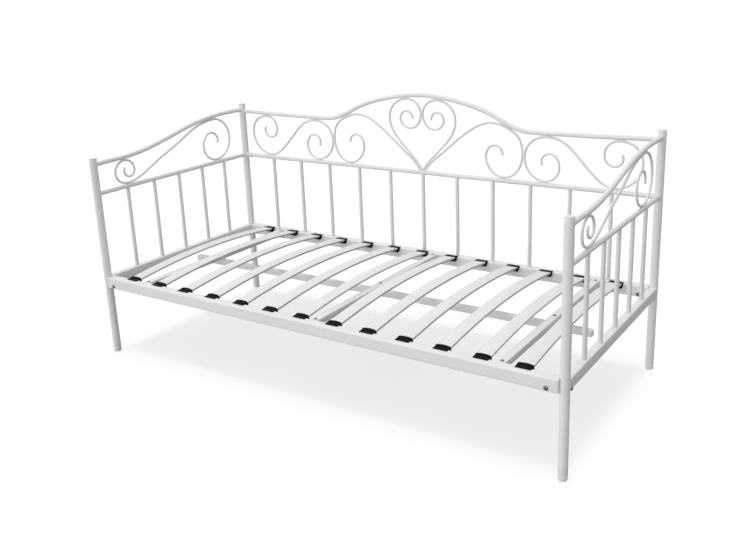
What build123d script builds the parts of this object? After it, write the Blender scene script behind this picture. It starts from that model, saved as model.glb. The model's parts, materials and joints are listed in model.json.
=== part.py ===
from build123d import *
import os
from math import cos, sin, radians, sqrt, pi

# Single metal daybed: four round posts, two end panels and a back panel with
# straight spindles below and scrolled rods above, two long rails, three cross
# bars on a centre beam, thirteen sprung slats in clip-on holders.
# Frame: X along the length, Y from the open front (-) to the back (+), Z up,
# floor at z = 0, origin under the middle.

# ---------------------------------------------------------------- dimensions
POST_X = 1030.0          # post axes, half the length between them
POST_Y = 457.5           # post axes, half the width between them
POST_R = 16.0            # round post tube
POST_WALL = 1.5
FRONT_H = 857.0          # height of the front posts over their caps
BACK_H = 959.0           # height of the back posts over their caps

CAP_T = 3.0              # cap flange thickness
CAP_EDGE = 1.4           # rounding of the cap's upper edge
FOOT_H = 24.0            # visible height of the foot plug
FOOT_EDGE = 4.0          # rounding of the foot's lower edge
PLUG_R = 14.4            # stems of the caps and the feet inside the tube
PLUG_L = 16.0

RAIL_R = 9.5             # round top rails and mid rails
MID_Z = 705.0            # axis of the mid rails
ROD_R = 5.0              # scroll rods
SPINDLE_R = 8.0
BACK_SPINDLES = 11
BACK_PITCH = 169.7
SIDE_SPINDLES = 5
SIDE_PITCH = 148.4
COLLAR_R = 11.5          # sleeves on the back mid rail beside the posts
COLLAR_X = 988.0

FRAME_TOP = 346.0        # top face of the mattress frame
LONG_W, LONG_H, LONG_WALL, LONG_EDGE = 40.0, 46.0, 2.0, 5.0
LONG_X = 1016.0          # half length of the long rails, coped to the posts
END_W, END_H, END_WALL, END_EDGE = 30.0, 40.0, 1.5, 4.0

BAR_W, BAR_T, BAR_WALL, BAR_EDGE = 30.0, 25.0, 1.5, 3.0
BAR_TOP = 345.0
BAR_X = (-814.0, 60.0, 807.0)
BEAM_W, BEAM_WALL, BEAM_EDGE = 25.0, 1.5, 3.0
BEAM_X = 952.0

SLATS = 13
SLAT_PITCH = 148.0
SLAT_W, SLAT_T = 53.0, 8.0
SLAT_MID_Z = 367.5       # lower face of a slat at the middle
SLAT_END_Z = 339.5       # lower face of a slat at its tips
SLAT_CHORD = 436.5       # half the straight distance between the tips

HOLDER_W = 56.0
HOLDER_LIP = 16.0        # reach of the lip at its middle, with a bowed edge
HOOK_FRONT = 16.5        # reach of the hooks over the front rail's top
HOOK_BACK = 11.8         # shorter at the back, clear of the spindles
# Front, then back: reach from the rail's inner face, reach of the lip at its
# sides, underside of the socket and top of its side walls.
HOLDER_FRONT = (20.0, 8.0, 337.0, 341.5)
HOLDER_BACK = (24.0, 13.0, 331.0, 345.0)
HOLDER_TOP = 353.0       # top of the lip over the slat's tip
HOLDER_HOOK_T = 2.0
HOLDER_CROWN = 6.0       # rounding of the lip's two upper corners

BOLT_X = 976.5           # corner bolts through the long rails
BOLT_Z = 311.5
BOLT_HEAD_R, BOLT_HEAD_H = 8.3, 5.0
BOLT_R = 4.0
SIDE_BOLT_Y = 440.0      # bolts in the end rails beside the front posts
SIDE_BOLT_Z = 309.5
SIDE_HEAD_R, SIDE_HEAD_H = 7.0, 4.0
BAR_BOLT_Y = 427.0
BAR_HEAD_R, BAR_HEAD_H = 6.5, 3.6
BAR_BOLT_R = 3.0

# Curves as chains of equal, tangent arcs: start across, start up, starting
# direction in degrees, length of each arc, turn of each arc in degrees.
BACK_TOP = (0.0, 1042.67, 0.0, 75.045,
            [-5.86, -4.15, -3.77, -5.18, -9.47, 7.75, 18.47, 3.66, -0.69,
             -0.57, 0.96, 0.0, 0.0, 0.0])
SIDE_TOP = (-441.09, 827.97, 3.36, 74.687,
            [-2.75, 1.56, 4.86, 4.2, 1.39, 1.44, -1.33, -3.63, -3.62, -3.08,
             -2.39, -2.55])
S_ROD = (884.551, 851.675, -61.608, 54.0232,
         [-98.642, -79.605, -59.739, -54.286, -28.084, -41.32, -35.661, -30.4,
          -26.977, -31.981, -29.968, -8.094, -0.567, 2.127, 18.178, 24.736,
          22.631, 38.452, 34.705, 33.162, 31.857, 45.374, 50.404, 49.097,
          81.896, 97.148])
C_ROD = (382.662, 813.218, 84.857, 50.2786,
         [83.49, 76.764, 41.123, 33.117, 36.851, 37.94, 34.381, 18.888,
          21.801, 36.98, 12.491, 17.697, 22.874, 12.54, 4.825, 3.301, 1.168,
          -2.835, 2.551, 19.835])
HEART_ROD = (47.221, 938.065, 95.695, 39.1084,
             [-73.948, -74.409, -66.416, -47.306, -42.133, -39.219, -32.588,
              -36.093, -34.604, -22.329, -24.357, -27.928, -26.704, -21.248,
              -13.403, -6.594, -2.751, 0.21, 5.431, 10.009])
SIDE_ROD = (-300.992, 786.295, -123.542, 54.3146,
            [113.784, 109.067, 64.985, 53.408, 68.893, 62.441, 23.089, 11.251,
             3.357, -1.751, -3.492, 1.595, 3.367, -1.09, -9.213, -7.204,
             -6.278, -32.133, -31.24, -30.86, -34.799, -34.257, -27.868,
             -41.104, -45.602, -49.212, -69.962, -73.828])


# ------------------------------------------------------------------- helpers
def write(shape, name):
    """One file per named piece."""
    if isinstance(shape, (list, tuple, ShapeList)):
        shape = Compound(children=list(shape)) if len(shape) > 1 else shape[0]
    shape.label = name
    export_step(shape, os.path.join("parts", name + ".step"))


def box(x0, x1, y0, y1, z0, z1):
    return Pos((x0 + x1) / 2, (y0 + y1) / 2, (z0 + z1) / 2) * Box(
        x1 - x0, y1 - y0, z1 - z0)


def rod_z(x, y, z0, z1, r):
    return Pos(x, y, (z0 + z1) / 2) * Cylinder(r, z1 - z0)


def rod_x(y, z, x0, x1, r):
    return Pos((x0 + x1) / 2, y, z) * Rot(0, 90, 0) * Cylinder(r, x1 - x0)


def rod_y(x, z, y0, y1, r):
    return Pos(x, (y0 + y1) / 2, z) * Rot(90, 0, 0) * Cylinder(r, y1 - y0)


def section_tube(width, height, edge, wall):
    outer = RectangleRounded(width, height, edge)
    inner = RectangleRounded(width - 2 * wall, height - 2 * wall, edge - wall)
    return outer - inner


def tube_x(x0, x1, y, z_mid, width, height, edge, wall):
    """Box tube along X: width across Y, height along Z."""
    face = section_tube(width, height, edge, wall)
    plane = Plane(origin=(x0, y, z_mid), x_dir=(0, 1, 0), z_dir=(1, 0, 0))
    return extrude(plane * face, x1 - x0)


def tube_y(y0, y1, x, z_mid, width, height, edge, wall):
    """Box tube along Y: width across X, height along Z."""
    face = section_tube(width, height, edge, wall)
    plane = Plane(origin=(x, y0, z_mid), x_dir=(-1, 0, 0), z_dir=(0, 1, 0))
    return extrude(plane * face, y1 - y0)


def dome(r, h):
    """Low domed head standing on z = 0."""
    ball = (r * r + h * h) / (2 * h)
    return (Pos(0, 0, h - ball) * Sphere(ball)) & (
        Pos(0, 0, h / 2) * Cylinder(r + 1, h))


def bent_rod(curve, place, r, lead=0.0, tail=0.0):
    """Round bar along the tangent arcs; place() maps across/up to space."""
    a, b, heading, step, turns = curve
    th = radians(heading)
    spin = place(1.0, 0.0) - place(0.0, 0.0)
    spin = spin.cross(place(0.0, 1.0) - place(0.0, 0.0))
    runs = [(lead, 0.0)] if lead else []
    a, b = a - lead * cos(th), b - lead * sin(th)
    runs += [(step, radians(t)) for t in turns]
    runs += [(tail, 0.0)] if tail else []
    pieces = []
    for length, t in runs:
        along = place(a + cos(th), b + sin(th)) - place(a, b)
        profile = Plane(origin=place(a, b), z_dir=along) * Circle(r)
        if abs(t) < 1e-6:
            pieces.append(extrude(profile, length))
            a, b = a + length * cos(th), b + length * sin(th)
            continue
        bend = length / t
        hub = place(a - bend * sin(th), b + bend * cos(th))
        axis = Axis(hub, spin if t > 0 else spin * -1)
        pieces.append(revolve(profile, axis=axis, revolution_arc=abs(
            t * 180 / pi)))
        a = a + bend * (sin(th + t) - sin(th))
        b = b - bend * (cos(th + t) - cos(th))
        th += t
    body = pieces[0].fuse(*pieces[1:])
    return body


def whole_rail(half):
    """Both halves of a rail from its right half, as one chain."""
    a, b, heading, step, turns = half
    th = radians(heading)
    for t in [radians(turn) for turn in turns]:
        if t:
            bend = step / t
            a = a + bend * (sin(th + t) - sin(th))
            b = b - bend * (cos(th + t) - cos(th))
        else:
            a, b = a + step * cos(th), b + step * sin(th)
        th += t
    return (-a, b, -th * 180 / pi, step, turns[::-1] + turns)


def in_back(a, b):
    return Vector(a, POST_Y, b)


def in_end(a, b):
    return Vector(POST_X, a, b)


def left_of(shape):
    return mirror(shape, about=Plane.YZ)


def both(name, shape):
    """Right piece as built, left piece as its mirror image."""
    write(shape, name + "_right")
    write(left_of(shape), name + "_left")


os.makedirs("parts", exist_ok=True)

# --------------------------------------------------------- posts, caps, feet
POSTS = {
    "front_left": (-POST_X, -POST_Y, FRONT_H),
    "front_right": (POST_X, -POST_Y, FRONT_H),
    "back_left": (-POST_X, POST_Y, BACK_H),
    "back_right": (POST_X, POST_Y, BACK_H),
}
for place_name, (px, py, top) in POSTS.items():
    tube_top = top - CAP_T
    tube = rod_z(px, py, FOOT_H, tube_top, POST_R) - rod_z(
        px, py, FOOT_H, tube_top, POST_R - POST_WALL)
    write(tube, "post_" + place_name)
    flange = rod_z(0, 0, 0, CAP_T, POST_R)
    flange = fillet(flange.edges().group_by(Axis.Z)[-1], CAP_EDGE)
    cap = flange + rod_z(0, 0, -PLUG_L, 0.0, PLUG_R)
    write(Pos(px, py, tube_top) * cap, "post_cap_" + place_name)
    base = rod_z(0, 0, 0, FOOT_H, POST_R)
    base = fillet(base.edges().group_by(Axis.Z)[0], FOOT_EDGE)
    foot = base + rod_z(0, 0, FOOT_H, FOOT_H + PLUG_L, PLUG_R)
    write(Pos(px, py, 0) * foot, "foot_" + place_name)

# Solid post bodies, used to cope the ends of everything welded to a post.
post_fr = rod_z(POST_X, -POST_Y, 0, 1100, POST_R)
post_br = rod_z(POST_X, POST_Y, 0, 1100, POST_R)

# ------------------------------------------------------------- end panel
side_mid = rod_y(POST_X, MID_Z, -POST_Y, POST_Y, RAIL_R) - post_fr - post_br
both("end_mid_rail", side_mid)

side_top = bent_rod(SIDE_TOP, in_end, RAIL_R, lead=14.0, tail=10.0)
side_top = side_top - post_fr - post_br
both("end_top_rail", side_top)

end_mid_z = FRAME_TOP - END_H / 2
end_rail = tube_y(-POST_Y, POST_Y, POST_X, end_mid_z,
                  END_W, END_H, END_EDGE, END_WALL)
end_rail = end_rail - post_fr - post_br
end_rail = end_rail - rod_x(-SIDE_BOLT_Y, SIDE_BOLT_Z, POST_X,
                            POST_X + 30, BOLT_R)
both("end_rail", end_rail)

spindles = []
for i in range(SIDE_SPINDLES):
    y = (i - (SIDE_SPINDLES - 1) / 2) * SIDE_PITCH
    spindles.append(rod_z(POST_X, y, FRAME_TOP, MID_Z, SPINDLE_R)
                    - rod_y(POST_X, MID_Z, y - 20, y + 20, RAIL_R))
write(spindles, "end_spindles_right")
write([left_of(s) for s in spindles], "end_spindles_left")

side_rod = bent_rod(SIDE_ROD, in_end, ROD_R)
both("end_scroll", side_rod)

# ------------------------------------------------------------- back panel
back_top = bent_rod(whole_rail(BACK_TOP), in_back, RAIL_R)
back_top = back_top - post_br - left_of(post_br)
write(back_top, "back_top_rail")

back_mid = rod_x(POST_Y, MID_Z, -POST_X, POST_X, RAIL_R)
back_mid = back_mid - post_br - left_of(post_br)
write(back_mid, "back_mid_rail")

collar = rod_x(POST_Y, MID_Z, COLLAR_X, POST_X, COLLAR_R) - rod_x(
    POST_Y, MID_Z, COLLAR_X, POST_X, RAIL_R) - post_br
write([collar, left_of(collar)], "back_rail_collars")

spindles = []
for i in range(BACK_SPINDLES):
    x = (i - (BACK_SPINDLES - 1) / 2) * BACK_PITCH
    spindles.append(rod_z(x, POST_Y, FRAME_TOP, MID_Z, SPINDLE_R)
                    - rod_x(POST_Y, MID_Z, x - 20, x + 20, RAIL_R))
write(spindles, "back_spindles")

c_rod = bent_rod(C_ROD, in_back, ROD_R)
s_rod = bent_rod(S_ROD, in_back, ROD_R)
heart = bent_rod(HEART_ROD, in_back, ROD_R)
both("back_s_scroll", s_rod)
both("back_c_scroll", c_rod)
both("back_heart_scroll", heart)

# ------------------------------------------------------- mattress frame
long_mid_z = FRAME_TOP - LONG_H / 2
rail = tube_x(-LONG_X, LONG_X, 0, long_mid_z, LONG_W, LONG_H, LONG_EDGE,
              LONG_WALL)
for s in (-1, 1):
    rail = rail - rod_y(s * BOLT_X, BOLT_Z, -30, 30, BOLT_R)
    # Ends coped around the posts and cut back beside the end rails.
    rail = rail - rod_z(s * POST_X, 0, 290, 360, POST_R + 1)
    near, beyond = POST_X - END_W / 2 - 1.5, LONG_X + 5
    rail = rail - box(min(s * near, s * beyond), max(s * near, s * beyond), 3,
                      30, 290, 360)
write(Pos(0, -POST_Y, 0) * rail, "front_rail")
write(Pos(0, POST_Y, 0) * mirror(rail, about=Plane.XZ), "back_rail")

# Channel brackets welded to the posts, reaching into the rail ends.
bracket_len = 60.0
u = box(POST_X - POST_R - bracket_len, POST_X, -11, 11, 304, 341)
u = u - box(POST_X - POST_R - bracket_len - 1, POST_X + 1, -8, 8, 307, 342)
u = u - rod_y(BOLT_X, BOLT_Z, -30, 30, BOLT_R)
corner = []
for y, post in ((-POST_Y, post_fr), (POST_Y, post_br)):
    right = Pos(0, y, 0) * u - post
    right = right - box(POST_X - END_W / 2, POST_X + END_W / 2, -POST_Y,
                        POST_Y, 300, FRAME_TOP)
    corner += [right, left_of(right)]
write(corner, "corner_brackets")

# Cross bars between the long rails, on short angle brackets.
inner_y = POST_Y - LONG_W / 2
bar_mid_z = BAR_TOP - BAR_T / 2
bar_low = BAR_TOP - BAR_T
angles, bar_bolts = [], []
for i, x in enumerate(BAR_X):
    bar = tube_y(-inner_y, inner_y, x, bar_mid_z, BAR_W, BAR_T, BAR_EDGE,
                 BAR_WALL)
    for y in (-BAR_BOLT_Y, 5.0, BAR_BOLT_Y):
        bar = bar - rod_z(x, y, 300, 360, BAR_BOLT_R)
    write(bar, "cross_bar_%d" % (i + 1))
    for s in (-1, 1):
        angle = box(x - 15, x + 15, inner_y - 25, inner_y, bar_low - 3,
                    bar_low)
        angle = angle + box(x - 15, x + 15, inner_y - 3, inner_y,
                            bar_low - 19, bar_low)
        angle = angle - rod_z(x, BAR_BOLT_Y, 290, 360, BAR_BOLT_R)
        bolt = rod_z(x, BAR_BOLT_Y, bar_low - 9, BAR_TOP + 1, BAR_BOLT_R)
        bolt = bolt + Pos(x, BAR_BOLT_Y, BAR_TOP) * dome(
            BAR_HEAD_R, BAR_HEAD_H)
        nut = Pos(x, BAR_BOLT_Y, bar_low - 3 - 5) * extrude(
            RegularPolygon(5.6, 6), 5)
        bolt = bolt + nut
        if s < 0:
            angle = mirror(angle, about=Plane.XZ)
            bolt = mirror(bolt, about=Plane.XZ)
        angles.append(angle)
        bar_bolts.append(bolt)
    beam_low = bar_low - BEAM_W
    bolt = rod_z(x, 5.0, beam_low - 7, BAR_TOP + 1, BAR_BOLT_R)
    bolt = bolt + Pos(x, 5.0, BAR_TOP) * dome(BAR_HEAD_R, BAR_HEAD_H)
    bolt = bolt + Pos(x, 5.0, beam_low - 5) * extrude(
        RegularPolygon(5.6, 6), 5)
    bar_bolts.append(bolt)
write(angles, "cross_bar_brackets")
write(bar_bolts, "cross_bar_bolts")

beam_mid_z = bar_low - BEAM_W / 2
beam = tube_x(-BEAM_X, BEAM_X, 0, beam_mid_z, BEAM_W, BEAM_W, BEAM_EDGE,
              BEAM_WALL)
for x in BAR_X:
    beam = beam - rod_z(x, 5.0, 280, 360, BAR_BOLT_R)
write(beam, "centre_beam")

# ------------------------------------------------------- slats and holders
rise = SLAT_MID_Z - SLAT_END_Z
bow_r = (SLAT_CHORD ** 2 + rise ** 2) / (2 * rise)
centre_z = SLAT_MID_Z - bow_r
outer_r = bow_r + SLAT_T


def slat_section(reach, low_r, high_r):
    """Bowed strip in the YZ plane between two radii, out to the reach."""
    def at(y, r):
        return (y, centre_z + sqrt(r * r - y * y))
    lo0, lo1 = at(-reach, low_r), at(reach, low_r)
    # Tips are cut square to the strip.
    k = high_r / low_r
    hi0 = (lo0[0] * k, centre_z + (lo0[1] - centre_z) * k)
    hi1 = (lo1[0] * k, centre_z + (lo1[1] - centre_z) * k)
    edges = [ThreePointArc(lo0, (0, centre_z + low_r), lo1),
             Line(lo1, hi1),
             ThreePointArc(hi1, (0, centre_z + high_r), hi0),
             Line(hi0, lo0)]
    return make_face(Wire(edges))


yz = Plane(origin=(0, 0, 0), x_dir=(0, 1, 0), z_dir=(1, 0, 0))
strip = extrude(yz * slat_section(SLAT_CHORD, bow_r, outer_r), SLAT_W / 2,
                both=True)
strip = fillet(strip.edges().filter_by(
    lambda e: e.length > 400), 1.2)

def holder(reach, depth, lip_side, floor, wall):
    """Holder at the back side of x = 0, cut by the strip it carries: a socket
    block on the rail's inner face, a sloping lip over the slat's tip and a
    thin hook over the top of the rail."""
    half = HOLDER_W / 2
    block = box(-half, half, inner_y - depth, inner_y, floor, HOLDER_TOP)
    corners = block.edges().filter_by(Axis.Z).group_by(Axis.Y)[0]
    block = fillet(corners, 3.0)
    crown = block.edges().filter_by(Axis.Y).group_by(Axis.Z)[-1]
    block = fillet(crown, HOLDER_CROWN)
    # The lower corner beside the rail is cut away.
    cut = make_face(Polyline([(inner_y + 1, floor - 1), (inner_y + 1, floor + 7),
                              (inner_y, floor + 7), (inner_y - 9, floor),
                              (inner_y - 9, floor - 1)], close=True))
    block = block - extrude(yz * cut, half + 1, both=True)
    lower = box(-half + 6, half - 6, inner_y - 14.0, inner_y, floor - 5,
                floor + 8)
    low_edge = lower.edges().filter_by(Axis.X).group_by(Axis.Y)[0]
    lower = chamfer(low_edge.group_by(Axis.Z)[0], 4.0)
    hook_top = FRAME_TOP + HOLDER_HOOK_T
    hook = box(-half, half, inner_y - 2.0, inner_y + reach, FRAME_TOP,
               hook_top)
    hook = fillet(hook.edges().filter_by(Axis.Z).group_by(Axis.Y)[-1], 4.0)
    # The lip falls away from its inner edge to the hook.
    wedge = make_face(Polyline([(inner_y + 1, hook_top),
                                (inner_y - HOLDER_LIP + 1, HOLDER_TOP),
                                (inner_y - HOLDER_LIP + 1, HOLDER_TOP + 5),
                                (inner_y + 1, HOLDER_TOP + 5)], close=True))
    wedge = extrude(yz * wedge, half + 2, both=True)
    clip = (block - wedge) + lower + hook
    clip = clip - extrude(yz * slat_section(SLAT_CHORD, bow_r, outer_r),
                          SLAT_W / 2, both=True)
    # The socket is open above its walls beyond the lip's bowed edge.
    far = inner_y - depth - 5
    side = inner_y - lip_side
    opening = make_face(Wire([
        ThreePointArc((-half, side), (0, inner_y - HOLDER_LIP), (half, side)),
        Line((half, side), (half + 1, side)), Line((half + 1, side), (half + 1, far)),
        Line((half + 1, far), (-half - 1, far)), Line((-half - 1, far), (-half - 1, side)),
        Line((-half - 1, side), (-half, side))]))
    return clip - Pos(0, 0, wall) * extrude(
        opening, HOLDER_TOP + 5 - wall, dir=(0, 0, 1))


back_clip = holder(HOOK_BACK, *HOLDER_BACK)
front_clip = mirror(holder(HOOK_FRONT, *HOLDER_FRONT), about=Plane.XZ)
back_clips, front_clips = [], []
for i in range(SLATS):
    x = (i - (SLATS - 1) / 2) * SLAT_PITCH
    write(Pos(x, 0, 0) * strip, "slat_%02d" % (i + 1))
    back_clips.append(Pos(x, 0, 0) * back_clip)
    front_clips.append(Pos(x, 0, 0) * front_clip)
write(back_clips, "slat_holders_back")
write(front_clips, "slat_holders_front")

# ------------------------------------------------------------------- bolts
bolts = []
for y in (-POST_Y, POST_Y):
    for x in (-BOLT_X, BOLT_X):
        b = Pos(x, y, BOLT_Z) * Rot(90, 0, 0) * Cylinder(BOLT_R, LONG_W)
        head = Rot(-90, 0, 0) * dome(BOLT_HEAD_R, BOLT_HEAD_H)
        b = b + Pos(x, y + LONG_W / 2, BOLT_Z) * head
        b = b + Pos(x, y - LONG_W / 2, BOLT_Z) * Rot(0, 0, 180) * head
        bolts.append(b)
for s in (-1, 1):
    x_out = POST_X + END_W / 2
    b = rod_x(-SIDE_BOLT_Y, SIDE_BOLT_Z, x_out - 6, x_out, BOLT_R)
    b = b + Pos(x_out, -SIDE_BOLT_Y, SIDE_BOLT_Z) * Rot(0, 90, 0) * dome(
        SIDE_HEAD_R, SIDE_HEAD_H)
    bolts.append(b if s > 0 else left_of(b))
write(bolts, "frame_bolts")
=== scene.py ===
import bpy
import bmesh
import json
import math
import numpy as np
from mathutils import Matrix, Vector

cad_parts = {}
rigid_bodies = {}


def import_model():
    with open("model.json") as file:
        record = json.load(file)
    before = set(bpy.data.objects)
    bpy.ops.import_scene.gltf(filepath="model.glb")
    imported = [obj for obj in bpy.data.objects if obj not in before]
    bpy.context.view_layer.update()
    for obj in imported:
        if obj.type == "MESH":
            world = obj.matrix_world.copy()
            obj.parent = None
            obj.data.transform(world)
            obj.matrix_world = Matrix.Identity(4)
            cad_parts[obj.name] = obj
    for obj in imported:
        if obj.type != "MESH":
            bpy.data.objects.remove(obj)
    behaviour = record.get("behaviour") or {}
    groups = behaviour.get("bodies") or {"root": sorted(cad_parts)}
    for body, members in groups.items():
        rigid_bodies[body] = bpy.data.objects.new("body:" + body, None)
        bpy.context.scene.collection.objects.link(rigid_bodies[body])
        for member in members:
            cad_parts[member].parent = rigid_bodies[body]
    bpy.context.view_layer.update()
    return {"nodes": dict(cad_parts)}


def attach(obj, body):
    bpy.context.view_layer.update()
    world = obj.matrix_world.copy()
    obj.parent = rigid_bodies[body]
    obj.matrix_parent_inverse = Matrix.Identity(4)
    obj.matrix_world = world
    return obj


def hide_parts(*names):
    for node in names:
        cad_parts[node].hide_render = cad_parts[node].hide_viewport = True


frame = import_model()
nodes = frame["nodes"]
MM = 0.001

# ------------------------------------------------------------------ camera
CAM_POS = (1.8913, -2.71117, 1.51827)
YAW, PITCH, ROLL = 0.5741, 0.2857, 0.0329
FOCAL_PX, CX, CY, W, H = 858.887, 394.59, 232.42, 754.0, 536.0


def camera():
    cy, sy, cp, sp = math.cos(YAW), math.sin(YAW), math.cos(PITCH), math.sin(PITCH)
    fwd = Vector((-sy * cp, cy * cp, -sp))
    right = Vector((cy, sy, 0.0))
    down = fwd.cross(right)
    cr, sr = math.cos(ROLL), math.sin(ROLL)
    r2 = cr * right + sr * down
    d2 = -sr * right + cr * down
    m = Matrix.Identity(4)
    for i in range(3):
        m[i][0], m[i][1], m[i][2], m[i][3] = r2[i], -d2[i], -fwd[i], CAM_POS[i]
    data = bpy.data.cameras.new("camera")
    data.sensor_fit = "HORIZONTAL"
    data.sensor_width = 36.0
    data.lens = FOCAL_PX / W * 36.0
    data.shift_x = (W / 2 - CX) / W
    data.shift_y = (CY - H / 2) / W
    data.clip_start, data.clip_end = 0.05, 500.0
    ob = bpy.data.objects.new("camera", data)
    ob.matrix_world = m
    bpy.context.scene.collection.objects.link(ob)
    bpy.context.scene.camera = ob


camera()

# ------------------------------------------- sizes in mm, as in the CAD model
POST_X, POST_Y, POST_R = 1030.0, 457.5, 16.0
FRONT_H, BACK_H, CAP_T, FOOT_H = 857.0, 959.0, 3.0, 24.0
RAIL_R, MID_Z, ROD_R, SPINDLE_R = 9.5, 705.0, 5.0, 8.0
BACK_SPINDLES, BACK_PITCH, SIDE_SPINDLES, SIDE_PITCH = 11, 169.7, 5, 148.4
COLLAR_R, COLLAR_X = 11.5, 988.0
FRAME_TOP, LONG_W, LONG_H, LONG_WALL, LONG_EDGE, LONG_X = 346.0, 40.0, 46.0, 2.0, 5.0, 1016.0
END_W, END_H, END_EDGE = 30.0, 40.0, 4.0
BAR_W, BAR_T, BAR_EDGE, BAR_TOP = 30.0, 25.0, 3.0, 345.0
BAR_X = (-814.0, 60.0, 807.0)
BEAM_W, BEAM_EDGE, BEAM_X = 25.0, 3.0, 952.0
SLATS, SLAT_PITCH, SLAT_W, SLAT_T = 13, 148.0, 53.0, 8.0
SLAT_MID_Z, SLAT_END_Z, SLAT_CHORD = 367.5, 339.5, 436.5
INNER_Y = POST_Y - LONG_W / 2
BOLT_X, BOLT_Z = 976.5, 311.5
SIDE_BOLT_Y, SIDE_BOLT_Z = 440.0, 309.5
BAR_BOLT_Y = 427.0

# Rod and rail curves: start across, start up, heading in degrees, length of
# each arc, turn of each arc in degrees.
BACK_TOP = (0.0, 1042.67, 0.0, 75.045,
            [-5.86, -4.15, -3.77, -5.18, -9.47, 7.75, 18.47, 3.66, -0.69,
             -0.57, 0.96, 0.0, 0.0, 0.0])
SIDE_TOP = (-441.09, 827.97, 3.36, 74.687,
            [-2.75, 1.56, 4.86, 4.2, 1.39, 1.44, -1.33, -3.63, -3.62, -3.08,
             -2.39, -2.55])
S_ROD = (884.551, 851.675, -61.608, 54.0232,
         [-98.642, -79.605, -59.739, -54.286, -28.084, -41.32, -35.661, -30.4,
          -26.977, -31.981, -29.968, -8.094, -0.567, 2.127, 18.178, 24.736,
          22.631, 38.452, 34.705, 33.162, 31.857, 45.374, 50.404, 49.097,
          81.896, 97.148])
C_ROD = (382.662, 813.218, 84.857, 50.2786,
         [83.49, 76.764, 41.123, 33.117, 36.851, 37.94, 34.381, 18.888,
          21.801, 36.98, 12.491, 17.697, 22.874, 12.54, 4.825, 3.301, 1.168,
          -2.835, 2.551, 19.835])
HEART_ROD = (47.221, 938.065, 95.695, 39.1084,
             [-73.948, -74.409, -66.416, -47.306, -42.133, -39.219, -32.588,
              -36.093, -34.604, -22.329, -24.357, -27.928, -26.704, -21.248,
              -13.403, -6.594, -2.751, 0.21, 5.431, 10.009])
SIDE_ROD = (-300.992, 786.295, -123.542, 54.3146,
            [113.784, 109.067, 64.985, 53.408, 68.893, 62.441, 23.089, 11.251,
             3.357, -1.751, -3.492, 1.595, 3.367, -1.09, -9.213, -7.204,
             -6.278, -32.133, -31.24, -30.86, -34.799, -34.257, -27.868,
             -41.104, -45.602, -49.212, -69.962, -73.828])


# --------------------------------------------------------------- materials
class Mat:
    """A Principled material with a few node helpers."""

    def __init__(self, name, rough, metallic=0.0):
        self.m = bpy.data.materials.new(name)
        self.m.use_nodes = True
        self.nt = self.m.node_tree
        self.b = self.nt.nodes["Principled BSDF"]
        self.b.inputs["Roughness"].default_value = rough
        self.b.inputs["Metallic"].default_value = metallic
        self.at = self.nt.nodes.new("ShaderNodeTexCoord").outputs["Object"]

    def new(self, kind, **values):
        n = self.nt.nodes.new(kind)
        for k, v in values.items():
            setattr(n, k, v)
        return n

    def link(self, a, b):
        self.nt.links.new(a, b)

    def scaled(self, sx, sy, sz):
        n = self.new("ShaderNodeMapping")
        n.inputs["Scale"].default_value = (sx, sy, sz)
        self.link(self.at, n.inputs["Vector"])
        return n.outputs["Vector"]

    def noise(self, scale, detail=2.0, rough=0.5, at=None, distortion=0.0):
        n = self.new("ShaderNodeTexNoise")
        n.inputs["Scale"].default_value = scale
        n.inputs["Detail"].default_value = detail
        n.inputs["Roughness"].default_value = rough
        n.inputs["Distortion"].default_value = distortion
        self.link(at or self.at, n.inputs["Vector"])
        return n.outputs["Fac"]

    def ramp(self, fac, stops):
        n = self.new("ShaderNodeValToRGB")
        e = n.color_ramp.elements
        while len(e) < len(stops):
            e.new(0.5)
        for i, (p, c) in enumerate(stops):
            e[i].position = p
            e[i].color = (*c, 1.0) if len(c) == 3 else c
        self.link(fac, n.inputs["Fac"])
        return n.outputs["Color"]

    def span(self, fac, a0, a1, b0, b1):
        n = self.new("ShaderNodeMapRange")
        for k, v in zip(("From Min", "From Max", "To Min", "To Max"), (a0, a1, b0, b1)):
            n.inputs[k].default_value = v
        self.link(fac, n.inputs["Value"])
        return n.outputs["Result"]

    def math(self, op, a, b):
        n = self.new("ShaderNodeMath", operation=op)
        for i, v in enumerate((a, b)):
            if isinstance(v, (int, float)):
                n.inputs[i].default_value = v
            else:
                self.link(v, n.inputs[i])
        return n.outputs["Value"]

    def mix(self, fac, a, b):
        n = self.new("ShaderNodeMix", data_type="RGBA")
        for i, v in ((0, fac), (6, a), (7, b)):
            if isinstance(v, (int, float)):
                n.inputs[i].default_value = v
            elif isinstance(v, tuple):
                n.inputs[i].default_value = (*v, 1.0)
            else:
                self.link(v, n.inputs[i])
        return n.outputs[2]

    def color(self, c):
        self.link(c, self.b.inputs["Base Color"])

    def rough(self, r):
        self.link(r, self.b.inputs["Roughness"])

    def bump(self, height, strength, distance, after=None):
        n = self.new("ShaderNodeBump")
        n.inputs["Strength"].default_value = strength
        n.inputs["Distance"].default_value = distance
        self.link(height, n.inputs["Height"])
        if after is not None:
            self.link(after, n.inputs["Normal"])
        return n.outputs["Normal"]

    def normal(self, n):
        self.link(n, self.b.inputs["Normal"])


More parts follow.
